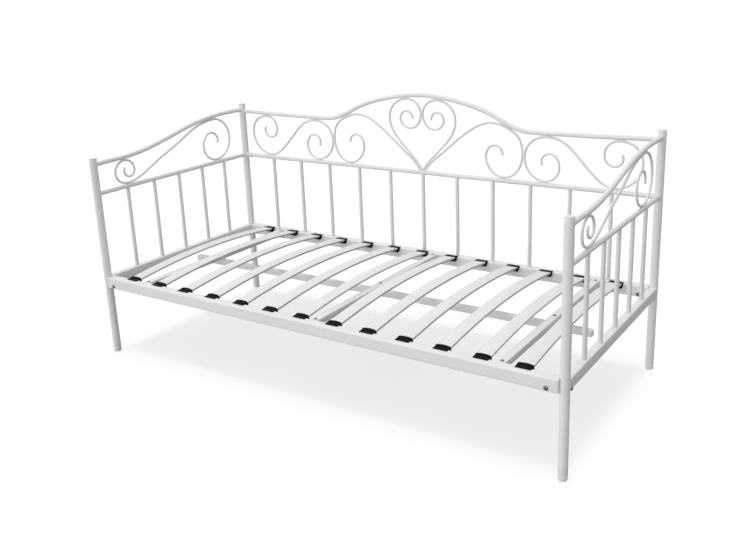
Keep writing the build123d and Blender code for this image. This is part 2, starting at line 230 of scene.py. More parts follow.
def powder_coat():
    """Satin white powder coat: orange-peel skin, faint mottling, thin handling marks."""
    m = Mat("white_powder_coat", 0.32)
    tone = m.ramp(m.noise(3.1, 3.0), [(0.3, (0.795, 0.795, 0.785)), (0.7, (0.835, 0.836, 0.828))])
    speck = m.span(m.noise(420.0, 1.0), 0.70, 0.78, 0.0, 1.0)
    tone = m.mix(m.math("MULTIPLY", speck, 0.35), tone, (0.70, 0.69, 0.67))
    m.color(tone)
    broad = m.span(m.noise(14.0, 4.0, 0.6), 0.3, 0.7, 0.27, 0.38)
    m.rough(m.math("ADD", broad, m.math("MULTIPLY", speck, 0.10)))
    peel = m.bump(m.noise(620.0, 2.0, 0.45), 0.22, 0.00018)
    m.normal(m.bump(m.noise(95.0, 1.0), 0.12, 0.0004, after=peel))
    m.b.inputs["Coat Weight"].default_value = 0.12
    m.b.inputs["Coat Roughness"].default_value = 0.18
    return m.m


def lacquered_wood():
    """White lacquered bent beech strip: faint long grain, pores, ply lines on the edges, and the side edges darkened
    grey as painted shade.
    """
    m = Mat("white_lacquered_wood", 0.36)
    long = m.scaled(1.0, 0.045, 1.0)
    grain = m.noise(150.0, 5.0, 0.62, at=long, distortion=0.35)
    pore_at = m.scaled(1.0, 0.06, 1.0)
    pores = m.span(m.noise(900.0, 1.0, 0.5, at=pore_at), 0.66, 0.76, 0.0, 1.0)
    tone = m.ramp(grain, [(0.32, (0.765, 0.76, 0.735)), (0.5, (0.815, 0.813, 0.795)), (0.7, (0.838, 0.837, 0.825))])
    patch = m.span(m.noise(5.0, 2.0), 0.35, 0.65, 0.0, 1.0)
    tone = m.mix(m.math("MULTIPLY", patch, 0.25), tone, (0.79, 0.785, 0.765))
    ply = m.new("ShaderNodeAttribute", attribute_name="ply")
    line = m.math("ABSOLUTE", m.math("SINE", m.math("MULTIPLY", ply.outputs["Fac"], 18.85), 0.0), 0.0)
    line = m.span(line, 0.0, 0.22, 1.0, 0.0)
    edge = m.new("ShaderNodeAttribute", attribute_name="edge")
    line = m.math("MULTIPLY", line, edge.outputs["Fac"])
    # Painted shade: the strip's side edges are darkened to grey to stand in for the shade on its side faces.
    tone = m.mix(m.math("MULTIPLY", edge.outputs["Fac"], 0.92), tone, (0.50, 0.495, 0.482))
    tone = m.mix(m.math("MULTIPLY", line, 0.4), tone, (0.30, 0.29, 0.27))
    m.color(tone)
    m.rough(m.span(grain, 0.3, 0.7, 0.42, 0.32))
    g = m.bump(grain, 0.18, 0.0003)
    m.normal(m.bump(m.math("ADD", pores, line), 0.10, 0.0002, after=g))
    return m.m


def black_moulding():
    """Black moulded plastic: fine spark grain, slight flow marks, polished high spots."""
    m = Mat("black_moulded_plastic", 0.5)
    tone = m.ramp(m.noise(60.0, 3.0), [(0.3, (0.003, 0.003, 0.0031)), (0.7, (0.006, 0.006, 0.0062))])
    m.color(tone)
    m.rough(m.span(m.noise(180.0, 3.0), 0.3, 0.7, 0.42, 0.60))
    m.normal(m.bump(m.noise(1700.0, 2.0), 0.30, 0.00012))
    m.b.inputs["Specular IOR Level"].default_value = 0.05
    return m.m


def dark_plating():
    """Dark bronze plated bolt steel with fine turning marks and rubbed edges."""
    m = Mat("dark_bronze_plating", 0.38, 0.85)
    tone = m.ramp(m.noise(260.0, 3.0), [(0.3, (0.19, 0.185, 0.178)), (0.7, (0.26, 0.252, 0.243))])
    rub = m.span(m.noise(900.0, 2.0), 0.62, 0.74, 0.0, 1.0)
    m.color(m.mix(m.math("MULTIPLY", rub, 0.5), tone, (0.40, 0.39, 0.375)))
    m.rough(m.span(m.noise(420.0, 2.0), 0.3, 0.7, 0.30, 0.46))
    m.normal(m.bump(m.noise(1300.0, 2.0), 0.25, 0.0001))
    return m.m


def white_moulding():
    """Smooth white moulded plastic for caps and foot plugs, scuffed low down."""
    m = Mat("white_moulded_plastic", 0.3)
    split = m.new("ShaderNodeSeparateXYZ")
    m.link(m.at, split.inputs["Vector"])
    low = m.span(split.outputs["Z"], 0.0, 0.012, 1.0, 0.0)
    scuff = m.math("MULTIPLY", low, m.span(m.noise(330.0, 4.0, 0.65), 0.46, 0.66, 0.0, 1.0))
    tone = m.ramp(m.noise(22.0, 3.0), [(0.3, (0.785, 0.785, 0.775)), (0.7, (0.825, 0.825, 0.818))])
    m.color(m.mix(m.math("MULTIPLY", scuff, 0.55), tone, (0.52, 0.51, 0.49)))
    m.rough(m.math("ADD", m.span(m.noise(75.0, 3.0), 0.3, 0.7, 0.24, 0.34), m.math("MULTIPLY", scuff, 0.25)))
    m.normal(m.bump(m.noise(1100.0, 1.0), 0.14, 0.0001))
    return m.m


def floor_paint():
    m = Mat("studio_floor", 0.85)
    m.color(m.ramp(m.noise(0.7, 2.0), [(0.3, (0.249, 0.25, 0.249)), (0.7, (0.251, 0.252, 0.251))]))
    m.b.inputs["Specular IOR Level"].default_value = 0.0
    return m.m


METAL, WOOD, BLACK, BOLT, PLASTIC = (
    powder_coat(), lacquered_wood(), black_moulding(), dark_plating(), white_moulding())
for n, o in nodes.items():
    o.data.materials.clear()
    if n.startswith("slat_holders"):
        o.data.materials.append(BLACK)
    elif n.startswith("slat_"):
        o.data.materials.append(WOOD)
    elif n.endswith("bolts"):
        o.data.materials.append(BOLT)
    elif n.startswith("foot_") or n.startswith("post_cap"):
        o.data.materials.append(PLASTIC)
    else:
        o.data.materials.append(METAL)


# ------------------------------------------------------------ mesh helpers
class Shells:
    """Closed shells gathered into one mesh. Points in mm."""

    def __init__(self):
        self.v, self.f, self.count = [], [], 0

    def add(self, v, f):
        v = np.asarray(v, float).reshape(-1, 3)
        self.v.append(v)
        self.f += [tuple(i + self.count for i in face) for face in f]
        self.count += len(v)

    def rings(self, rings, closed=False, caps=True):
        """A skin over a row of rings with equal point counts."""
        r = np.asarray(rings, float)
        n, k = r.shape[0], r.shape[1]
        f = []
        for i in range(n if closed else n - 1):
            a, b = i * k, ((i + 1) % n) * k
            for j in range(k):
                j2 = (j + 1) % k
                f.append((a + j, a + j2, b + j2, b + j))
        v = r.reshape(-1, 3)
        if not closed and caps:
            c0, c1 = len(v), len(v) + 1
            v = np.vstack([v, r[0].mean(0), r[-1].mean(0)])
            a = (n - 1) * k
            for j in range(k):
                j2 = (j + 1) % k
                f.append((c0, j2, j))
                f.append((c1, a + j, a + j2))
        self.add(v, f)

    def mirrored(self, axis=0):
        out = Shells()
        v = np.vstack(self.v).copy()
        v[:, axis] *= -1
        out.v, out.f, out.count = [v], list(self.f), self.count
        return out


def piece(name, shells, mat, replaces=(), smooth=38.0, attrs=None, at=None, mesh=None):
    if mesh is None:
        me = bpy.data.meshes.new(name)
        me.from_pydata((np.vstack(shells.v) * MM).tolist(), [], shells.f)
        bm = bmesh.new()
        bm.from_mesh(me)
        bmesh.ops.recalc_face_normals(bm, faces=bm.faces)
        bm.to_mesh(me)
        bm.free()
        me.polygons.foreach_set("use_smooth", [True] * len(me.polygons))
        me.set_sharp_from_angle(angle=math.radians(smooth))
        for key, values in (attrs or {}).items():
            a = me.attributes.new(key, "FLOAT", "POINT")
            a.data.foreach_set("value", values)
        me.materials.append(mat)
        me.update()
    else:
        me = mesh
    ob = bpy.data.objects.new(name, me)
    if at is not None:
        ob.location = Vector(at) * MM
    bpy.context.scene.collection.objects.link(ob)
    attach(ob, "root")
    if replaces:
        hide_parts(*replaces)
    return ob


def circle(seg):
    a = np.arange(seg) * 2 * np.pi / seg
    return np.cos(a), np.sin(a)


def hit(q, d, c, axis, radius):
    """Where rays from q along d first meet the round bar about c."""
    q, d, c, axis = (np.asarray(x, float) for x in (q, d, c, axis))
    w = q - c
    w = w - np.outer(w @ axis, axis)
    e = d - (d @ axis) * axis
    b = w @ e
    disc = b * b - (e @ e) * ((w * w).sum(1) - radius * radius)
    t = (-b - np.sqrt(np.maximum(disc, 0.0))) / (e @ e)
    return q + np.outer(t, d)


def end_steps(r, c, k=3):
    """Offsets and radii that round an end edge by c, outward order."""
    a = np.linspace(0, np.pi / 2, k + 1)
    return [(-c + c * math.sin(x), r - c + c * math.cos(x)) for x in a]


def bar(sh, p0, p1, r, seg=32, round0=0.8, round1=0.8, cope0=None, cope1=None):
    """Round bar from p0 to p1. cope = (centre, axis, radius) ends it on another bar."""
    p0, p1 = np.asarray(p0, float), np.asarray(p1, float)
    t = (p1 - p0) / np.linalg.norm(p1 - p0)
    ref = np.array([0, 0, 1.0]) if abs(t[2]) < 0.9 else np.array([1.0, 0, 0])
    n = np.cross(t, ref)
    n /= np.linalg.norm(n)
    b = np.cross(t, n)
    ca, sa = circle(seg)
    ring = np.outer(ca, n) + np.outer(sa, b)
    rows = []
    if cope0:
        rows.append(hit(p0 + t * 60 + r * ring, -t, *cope0))
    else:
        rows += [p0 + t * -o + rr * ring for o, rr in end_steps(r, round0)[::-1]]
    if cope1:
        rows.append(hit(p1 - t * 60 + r * ring, t, *cope1))
    else:
        rows += [p1 + t * o + rr * ring for o, rr in end_steps(r, round1)]
    sh.rings(rows)


def chain(curve, fine=3.2, lead=0.0, tail=0.0):
    """Points and headings along a chain of arcs, in its own plane."""
    a, b, heading, step, turns = curve
    th = math.radians(heading)
    a, b = a - lead * math.cos(th), b - lead * math.sin(th)
    pts, ths = [(a, b)], [th]
    if lead:
        a, b = a + lead * math.cos(th), b + lead * math.sin(th)
        pts.append((a, b))
        ths.append(th)
    for turn in turns:
        n = max(2, int(math.ceil(abs(turn) / fine)))
        t = math.radians(turn) / n
        for _ in range(n):
            s = step / n
            if abs(t) > 1e-9:
                R = s / t
                a = a + R * (math.sin(th + t) - math.sin(th))
                b = b - R * (math.cos(th + t) - math.cos(th))
            else:
                a, b = a + s * math.cos(th), b + s * math.sin(th)
            th += t
            pts.append((a, b))
            ths.append(th)
    if tail:
        pts.append((a + tail * math.cos(th), b + tail * math.sin(th)))
        ths.append(th)
    return np.array(pts), np.array(ths)


def whole(half):
    """Both halves of a rail as one chain."""
    pts, ths = chain(half)
    return (-pts[-1][0], pts[-1][1], -math.degrees(ths[-1]), half[3], half[4][::-1] + half[4])


def place(plane, ab):
    ab = np.asarray(ab, float).reshape(-1, 2)
    o = np.zeros((len(ab), 3))
    if plane == "back":
        o[:, 0], o[:, 1], o[:, 2] = ab[:, 0], POST_Y, ab[:, 1]
    else:
        o[:, 0], o[:, 1], o[:, 2] = POST_X, ab[:, 0], ab[:, 1]
    return o


def swept(sh, plane, pts, ths, r, seg, round_ends=1.0, copes=None):
    """A round rod along a plane curve, its ends rounded or coped."""
    P = place(plane, pts)
    T = place(plane, np.stack([np.cos(ths), np.sin(ths)], 1)) - place(plane, [(0, 0)])
    B = np.array([0, 1.0, 0]) if plane == "back" else np.array([1.0, 0, 0])
    N = np.cross(B, T)
    ca, sa = circle(seg)
    rows = []
    c = round_ends
    for i in range(len(P)):
        ring = np.outer(ca, N[i]) + np.outer(sa, B)
        if i == 0 and copes:
            rows.append(hit(P[0] + T[0] * 50 + r * ring, -T[0], *copes[0]))
        elif i == 0:
            rows += [P[0] - T[0] * o + rr * ring for o, rr in end_steps(r, c)[::-1]]
        elif i == len(P) - 1 and copes:
            rows.append(hit(P[-1] - T[-1] * 50 + r * ring, T[-1], *copes[1]))
        elif i == len(P) - 1:
            rows += [P[-1] + T[-1] * o + rr * ring for o, rr in end_steps(r, c)]
        else:
            rows.append(P[i] + r * ring)
    sh.rings(rows)


def rounded(w, h, e, k=6):
    """Rounded rectangle outline, anticlockwise, centred."""
    out = []
    for sx, sy, a0 in ((1, 1, 0), (-1, 1, 90), (-1, -1, 180), (1, -1, 270)):
        for j in range(k + 1):
            a = math.radians(a0 + 90.0 * j / k)
            out.append((sx * (w / 2 - e) + e * math.cos(a), sy * (h / 2 - e) + e * math.sin(a)))
    return np.array(out)


def lathe(sh, x, y, profile, seg=64):
    """Solid of revolution about a vertical line, profile from bottom to top."""
    ca, sa = circle(seg)
    rows = [np.stack([x + r * ca, y + r * sa, np.full(seg, z)], 1) for r, z in profile]
    sh.rings(rows)


def quarter(r0, z0, r1, z1, k=4, bulge_out=True):
    """A quarter-round in a lathe profile from (r0, z0) to (r1, z1)."""
    out = []
    for j in range(k + 1):
        a = math.pi / 2 * j / k
        if bulge_out:
            out.append((r0 + (r1 - r0) * math.sin(a), z0 + (z1 - z0) * (1 - math.cos(a))))
        else:
            out.append((r0 + (r1 - r0) * (1 - math.cos(a)), z0 + (z1 - z0) * math.sin(a)))
    return out


def inset(poly, c):
    """Plane outline moved inwards by c (anticlockwise outline)."""
    p = np.asarray(poly, float)
    d0 = p - np.roll(p, 1, 0)
    d1 = np.roll(p, -1, 0) - p
    n0 = np.stack([-d0[:, 1], d0[:, 0]], 1)
    n1 = np.stack([-d1[:, 1], d1[:, 0]], 1)
    n0 /= np.linalg.norm(n0, axis=1)[:, None]
    n1 /= np.linalg.norm(n1, axis=1)[:, None]
    m = n0 + n1
    return p + m / np.maximum((m * n0).sum(1), 0.35)[:, None] * c


def ccw(poly):
    p = np.asarray(poly, float)
    x, y = p[:, 0], p[:, 1]
    area = (x * np.roll(y, -1) - np.roll(x, -1) * y).sum()
    return p if area > 0 else p[::-1]


def prism(sh, poly, a0, a1, to3, edge=0.4):
    """An outline carried from a0 to a1 with softened end edges."""
    p = ccw(poly)
    q = inset(p, edge)
    h = inset(p, edge * 0.3)
    rows = [to3(q, a0), to3(h, a0 + edge * 0.3), to3(p, a0 + edge), to3(p, a1 - edge),
            to3(h, a1 - edge * 0.3), to3(q, a1)]
    n, k = len(rows), len(p)
    v = np.vstack(rows)
    f = []
    for i in range(n - 1):
        for j in range(k):
            j2 = (j + 1) % k
            f.append((i * k + j, i * k + j2, (i + 1) * k + j2, (i + 1) * k + j))
    f.append(tuple(range(k))[::-1])
    f.append(tuple(range((n - 1) * k, n * k)))
    sh.add(v, f)


def bead(sh, loop, r, seed, seg=8, ripple=0.16, pitch=2.6):
    """A closed weld bead along a loop, rippled like laid metal."""
    p = np.asarray(loop, float)
    n = len(p)
    rng = np.random.default_rng(seed)
    t = np.roll(p, -1, 0) - np.roll(p, 1, 0)
    t /= np.linalg.norm(t, axis=1)[:, None]
    nn = p - p.mean(0)
    nn -= (nn * t).sum(1)[:, None] * t
    nn /= np.linalg.norm(nn, axis=1)[:, None]
    b = np.cross(t, nn)
    s = np.cumsum(np.linalg.norm(np.roll(p, -1, 0) - p, axis=1))
    count = max(4, round(s[-1] / pitch))
    rr = r * (1 + ripple * np.cos(s / s[-1] * count * 2 * np.pi))
    wob = np.convolve(np.tile(rng.normal(0, 1, n), 3), np.ones(5) / 5, "same")[n:2 * n]
    rr = rr * (1 + 0.14 * wob)
    ca, sa = circle(seg)
    rows = [p[i] + rr[i] * (np.outer(ca, nn[i]) + np.outer(sa, b[i])) for i in range(n)]
    sh.rings(rows, closed=True)


def blob(sh, centre, t, n, b, size, seed):
    """A small lumpy weld spot."""
    rng = np.random.default_rng(seed)
    t, n, b = (np.asarray(v, float) / np.linalg.norm(v) for v in (t, n, b))
    rows, seg = [], 14
    ph = rng.uniform(0, 6.28, 6)
    for i in range(1, 10):
        u = math.pi * i / 10
        row = []
        for j in range(seg):
            w = 2 * math.pi * j / seg
            k = 1 + 0.06 * math.sin(2 * w + ph[0]) + 0.06 * math.sin(3 * u + ph[1]) + 0.04 * math.sin(
                5 * u + 2 * w + ph[2])
            row.append(np.asarray(centre) + k * (math.cos(u) * size[0] * t + math.sin(u) * (
                math.cos(w) * size[1] * n + math.sin(w) * size[2] * b)))
        rows.append(row)
    sh.rings(rows)


def around(centre, axis_u, axis_v, r, n=48):
    a = np.arange(n) * 2 * np.pi / n
    return np.asarray(centre, float) + r * (np.outer(np.cos(a), axis_u) + np.outer(np.sin(a), axis_v))


# --------------------------------------------------------- posts, caps, feet
POSTS = {"front_left": (-POST_X, -POST_Y, FRONT_H), "front_right": (POST_X, -POST_Y, FRONT_H),
         "back_left": (-POST_X, POST_Y, BACK_H), "back_right": (POST_X, POST_Y, BACK_H)}
for key, (px, py, top) in POSTS.items():
    tube_top = top - CAP_T
    sh = Shells()
    prof = [(14.5, FOOT_H + 0.3), (15.3, FOOT_H + 0.05), (15.8, FOOT_H + 0.3), (POST_R, FOOT_H + 0.9)]
    prof += [(POST_R, z) for z in np.linspace(60, tube_top - 30, 9)]
    prof += [(POST_R, tube_top - 0.9), (15.8, tube_top - 0.3), (15.3, tube_top - 0.05), (14.5, tube_top - 0.3)]
    lathe(sh, px, py, prof)
    piece("post_tube_" + key, sh, METAL, ["post_" + key])
    sh = Shells()
    prof = [(14.3, tube_top - 12), (14.3, tube_top - 0.2), (15.2, tube_top), (15.75, tube_top + 0.15),
            (15.95, tube_top + 0.5)]
    prof += quarter(15.95, top - 1.75, 14.2, top - 0.22, 6, bulge_out=False)
    prof += [(12.0, top - 0.12), (8.0, top - 0.05), (3.0, top)]
    lathe(sh, px, py, prof)
    piece("post_end_cap_" + key, sh, PLASTIC, ["post_cap_" + key])
    sh = Shells()
    prof = [(9.0, 0.6), (9.6, 0.0), (11.4, 0.0)]
    prof += quarter(12.0, 0.0, 15.6, 4.0, 8)
    prof += [(15.75, 9.0), (15.9, 15.0), (15.95, 21.8), (15.8, 22.6), (15.2, 23.0), (14.9, 23.4), (14.5, 24.2),
             (14.5, 40.0)]
    lathe(sh, px, py, prof)
    piece("foot_plug_" + key, sh, PLASTIC, ["foot_" + key])

post_bar = {(sx, sy): ((sx * POST_X, sy * POST_Y, 0), (0, 0, 1.0), POST_R - 0.4) for sx in (-1, 1) for sy in (-1, 1)}


def post_weld(sh, sx, sy, centre, direction, r, seed, bead_r=1.5):
    """Bead where a round bar along direction meets a post."""
    d = np.asarray(direction, float)
    up = np.array([0, 0, 1.0])
    side = np.cross(d, up)
    side /= np.linalg.norm(side)
    nn = np.cross(side, d)
    loop = around(np.asarray(centre, float) - d * 60, side, nn, r + 0.5, 56)
    loop = hit(loop, d, (sx * POST_X, sy * POST_Y, 0), (0, 0, 1.0), POST_R + 0.35)
    bead(sh, loop, bead_r, seed)


# --------------------------------------------------------------- end panels
for sx, side in ((1, "right"), (-1, "left")):
    flip = (lambda s: s) if sx > 0 else (lambda s: s.mirrored(0))
    front, back = post_bar[(1, -1)], post_bar[(1, 1)]
    # Round middle rail, coped to the posts.
    sh = Shells()
    bar(sh, (POST_X, -POST_Y, MID_Z), (POST_X, POST_Y, MID_Z), RAIL_R, 40,
        cope0=front, cope1=back)
    piece("end_middle_tube_" + side, flip(sh), METAL, ["end_mid_rail_" + side])
    # Waved top rail.
    pts, ths = chain(SIDE_TOP, lead=14.0, tail=10.0)
    sh = Shells()
    swept(sh, "end", pts, ths, RAIL_R, 40, copes=(front, back))
    piece("end_top_tube_" + side, flip(sh), METAL, ["end_top_rail_" + side])
    # Scrolled rod.
    spts, sths = chain(SIDE_ROD)
    sh = Shells()
    swept(sh, "end", spts, sths, ROD_R, 22, round_ends=1.1)
    piece("end_scroll_rod_" + side, flip(sh), METAL, ["end_scroll_" + side])
    # Spindles.
    sh, wd = Shells(), Shells()
    for i in range(SIDE_SPINDLES):
        y = (i - (SIDE_SPINDLES - 1) / 2) * SIDE_PITCH
        bar(sh, (POST_X, y, FRAME_TOP - 0.2), (POST_X, y, MID_Z), SPINDLE_R, 28, round0=0.3,
            cope1=((POST_X, 0, MID_Z), (0, 1.0, 0), RAIL_R - 0.3))
        bead(wd, around((POST_X, y, FRAME_TOP + 0.15), (1.0, 0, 0), (0, 1.0, 0), SPINDLE_R + 0.35, 40), 1.05, 11 + i)
        loop = around((POST_X, y, 600.0), (1.0, 0, 0), (0, 1.0, 0), SPINDLE_R + 0.2, 40)
        bead(wd, hit(loop, np.array([0, 0, 1.0]), (POST_X, 0, MID_Z), (0, 1.0, 0), RAIL_R + 0.2), 1.05, 31 + i)
    piece("end_spindle_set_" + side, flip(sh), METAL, ["end_spindles_" + side])
    # Box rail under the spindles, its ends shaped to the round posts.
    sh = Shells()
    o = rounded(END_W, END_H, END_EDGE, 6)
    z_mid = FRAME_TOP - END_H / 2
    ring = np.stack([POST_X + o[:, 0], np.zeros(len(o)), z_mid + o[:, 1]], 1)
    r0 = hit(ring + [0, -380.0, 0], np.array([0, -1.0, 0]), *front)
    r1 = hit(ring + [0, 380.0, 0], np.array([0, 1.0, 0]), *back)
    rows = [r0] + [ring + [0, y, 0] for y in (-380.0, 0.0, 380.0)] + [r1]
    sh.rings(rows)
    piece("end_box_rail_" + side, flip(sh), METAL, ["end_rail_" + side])
    # Weld beads of this panel.
    for sy, d in ((-1, -1.0), (1, 1.0)):
        post_weld(wd, 1, sy, (POST_X, sy * (POST_Y - 40), MID_Z), (0, d, 0), RAIL_R, 51 + sy)
        e = 0 if sy < 0 else -1
        t = np.array([0, math.cos(ths[e]), math.sin(ths[e])]) * (1 if sy > 0 else -1)
        c = place("end", pts[e])[0]
        post_weld(wd, 1, sy, c, t, RAIL_R, 61 + sy)
        oo = rounded(END_W - 0.4, END_H + 0.6, END_EDGE, 8)
        dense = []
        for j in range(len(oo)):
            a, b2 = oo[j], oo[(j + 1) % len(oo)]
            m = max(1, int(np.linalg.norm(b2 - a) / 1.4))
            dense += [a + (b2 - a) * q / m for q in range(m)]
        dense = np.array(dense)
        loop = np.stack([POST_X + dense[:, 0] * 0.985, np.full(len(dense), sy * 380.0), z_mid + dense[:, 1]], 1)
        loop = hit(loop, np.array([0, d, 0]), (POST_X, sy * POST_Y, 0), (0, 0, 1.0), POST_R + 0.2)
        bead(wd, loop, 1.3, 71 + sy)
    piece("end_welds_" + side, flip(wd), METAL)

# --------------------------------------------------------------- back panel
left_post, right_post = post_bar[(-1, 1)], post_bar[(1, 1)]
tpts, tths = chain(whole(BACK_TOP))
sh = Shells()
swept(sh, "back", tpts, tths, RAIL_R, 40, copes=(left_post, right_post))
piece("back_top_tube", sh, METAL, ["back_top_rail"])
sh = Shells()
bar(sh, (-POST_X, POST_Y, MID_Z), (POST_X, POST_Y, MID_Z), RAIL_R, 40, cope0=left_post, cope1=right_post)
piece("back_middle_tube", sh, METAL, ["back_mid_rail"])
sh, wd = Shells(), Shells()
for s in (-1, 1):
    ca, sa = circle(40)
    rows = []
    for xx, rr in ((COLLAR_X + 0.2, RAIL_R + 0.1), (COLLAR_X, RAIL_R + 0.7), (COLLAR_X + 0.1, COLLAR_R - 0.6),
                   (COLLAR_X + 0.45, COLLAR_R - 0.2), (COLLAR_X + 1.0, COLLAR_R)):
        rows.append(np.stack([np.full(40, xx), POST_Y + rr * ca, MID_Z + rr * sa], 1))
    last = rows[-1]
    rows.append(hit(last, np.array([1.0, 0, 0]), *right_post))
    tmp = Shells()
    tmp.rings(rows)
    v = tmp.v[0]
    v[:, 0] *= s
    sh.add(v, tmp.f)
    post_weld(wd, s, 1, (s * (POST_X - 40), POST_Y, MID_Z), (s, 0, 0), COLLAR_R, 81 + s, 1.2)
    e = 0 if s < 0 else -1
    t = np.array([math.cos(tths[e]), 0, math.sin(tths[e])]) * s
    post_weld(wd, s, 1, place("back", tpts[e])[0], t, RAIL_R, 85 + s)
    c = around((s * (COLLAR_X - 0.1), POST_Y, MID_Z), (0, 1.0, 0), (0, 0, 1.0), RAIL_R + 0.3, 44)
    bead(wd, c, 0.7, 87 + s)
piece("back_rail_sleeves", sh, METAL, ["back_rail_collars"])

sh = Shells()
for i in range(BACK_SPINDLES):
    x = (i - (BACK_SPINDLES - 1) / 2) * BACK_PITCH
    bar(sh, (x, POST_Y, FRAME_TOP - 0.2), (x, POST_Y, MID_Z), SPINDLE_R, 28, round0=0.3,
        cope1=((0, POST_Y, MID_Z), (1.0, 0, 0), RAIL_R - 0.3))
    bead(wd, around((x, POST_Y, FRAME_TOP + 0.15), (1.0, 0, 0), (0, 1.0, 0), SPINDLE_R + 0.35, 40), 1.05, 101 + i)
    loop = around((x, POST_Y, 600.0), (1.0, 0, 0), (0, 1.0, 0), SPINDLE_R + 0.2, 40)
    bead(wd, hit(loop, np.array([0, 0, 1.0]), (0, POST_Y, MID_Z), (1.0, 0, 0), RAIL_R + 0.2), 1.05, 131 + i)
piece("back_spindle_set", sh, METAL, ["back_spindles"])
piece("back_welds", wd, METAL)

rods = {}
for key, curve in (("s", S_ROD), ("c", C_ROD), ("heart", HEART_ROD)):
    pts, ths = chain(curve)
    rods[key] = pts
    sh = Shells()
    swept(sh, "back", pts, ths, ROD_R, 22, round_ends=1.1)
    piece("back_%s_rod_right" % key, sh, METAL, ["back_%s_scroll_right" % key])
    piece("back_%s_rod_left" % key, sh.mirrored(0), METAL, ["back_%s_scroll_left" % key])


# ------------------------------------------- spot welds where rods touch
def dense_line(pts, step=0.8):
    out = []
    for a, b in zip(pts[:-1], pts[1:]):
        m = max(1, int(np.linalg.norm(b - a) / step))
        out += [a + (b - a) * q / m for q in range(m)]
    out.append(pts[-1])
    return np.array(out)


def contacts(A, B, reach, slack=0.45):
    """Middle points and directions where two plane curves run closer than reach + slack."""
    out = []
    d = np.sqrt(((A[:, None, :] - B[None, :, :]) ** 2).sum(2))
    near = d.min(1)
    idx = d.argmin(1)
    i = 0
    while i < len(A):
        if near[i] < reach + slack:
            j = i
            while j + 1 < len(A) and near[j + 1] < reach + slack:
                j += 1
            k = i + int(np.argmin(near[i:j + 1]))
            t = A[min(k + 1, len(A) - 1)] - A[max(k - 1, 0)]
            out.append((A[k], B[idx[k]], t / np.linalg.norm(t), near[k]))
            i = j + 1
        else:
            i += 1
    return out


def spot_welds(sh, plane, pairs):
    count = 0
    for A, rA, B, rB, seed in pairs:
        for pa, pb, t, d in contacts(A, B, rA + rB):
            u = (pb - pa) / max(np.linalg.norm(pb - pa), 1e-6)
            mid = pa + u * rA
            c = place(plane, mid)[0]
            o = place(plane, [(0, 0)])[0]
            T = place(plane, t)[0] - o
            N = place(plane, u)[0] - o
            B3 = np.cross(T, N)
            for s in (-1, 1):
                blob(sh, c + s * 2.9 * B3, T, N, B3, (6.0, 2.6, 2.1), seed * 10 + count)
                count += 1
    return count


mirror2 = lambda p: p * np.array([-1.0, 1.0])
L = {k: dense_line(v) for k, v in rods.items()}
top_line = dense_line(tpts)
mid_line = np.stack([np.linspace(-1000, 1000, 2501), np.full(2501, MID_Z)], 1)
sh = Shells()
one_side = [(L["s"], ROD_R, top_line, RAIL_R, 1), (L["s"], ROD_R, mid_line, RAIL_R, 2),
            (L["c"], ROD_R, top_line, RAIL_R, 3), (L["c"], ROD_R, mid_line, RAIL_R, 4),
            (L["heart"], ROD_R, top_line, RAIL_R, 5), (L["heart"], ROD_R, mid_line, RAIL_R, 6),
            (L["s"], ROD_R, L["c"], ROD_R, 7), (L["heart"], ROD_R, L["c"], ROD_R, 8),
            (L["s"], ROD_R, L["heart"], ROD_R, 9)]
found = spot_welds(sh, "back", one_side)
v = np.vstack(sh.v).copy()
v[:, 0] *= -1
sh.add(v, list(sh.f))
middle = [(L["heart"], ROD_R, mirror2(L["heart"]), ROD_R, 21), (L["c"], ROD_R, mirror2(L["c"]), ROD_R, 22)]
found += spot_welds(sh, "back", middle)
piece("back_rod_spot_welds", sh, METAL)
side_line = dense_line(spts)
end_pts, end_ths = chain(SIDE_TOP, lead=14.0, tail=10.0)
end_top = dense_line(end_pts)
end_mid = np.stack([np.linspace(-440, 440, 1101), np.full(1101, MID_Z)], 1)
sh = Shells()
found_end = spot_welds(sh, "end", [(side_line, ROD_R, end_top, RAIL_R, 31), (side_line, ROD_R, end_mid, RAIL_R, 32)])
piece("end_rod_spot_welds_right", sh, METAL)
piece("end_rod_spot_welds_left", sh.mirrored(0), METAL)
print("SPOT WELDS", found, found_end)


# ----------------------------------------------------------- mattress frame
def dense(outline, step=2.5):
    """Extra points along the straight sides of a closed outline."""
    out = []
    for p, q in zip(outline, np.roll(outline, -1, axis=0)):
        n = max(1, int(np.ceil(np.linalg.norm(q - p) / step)))
        out += [p + (q - p) * k / n for k in range(n)]
    return np.array(out)


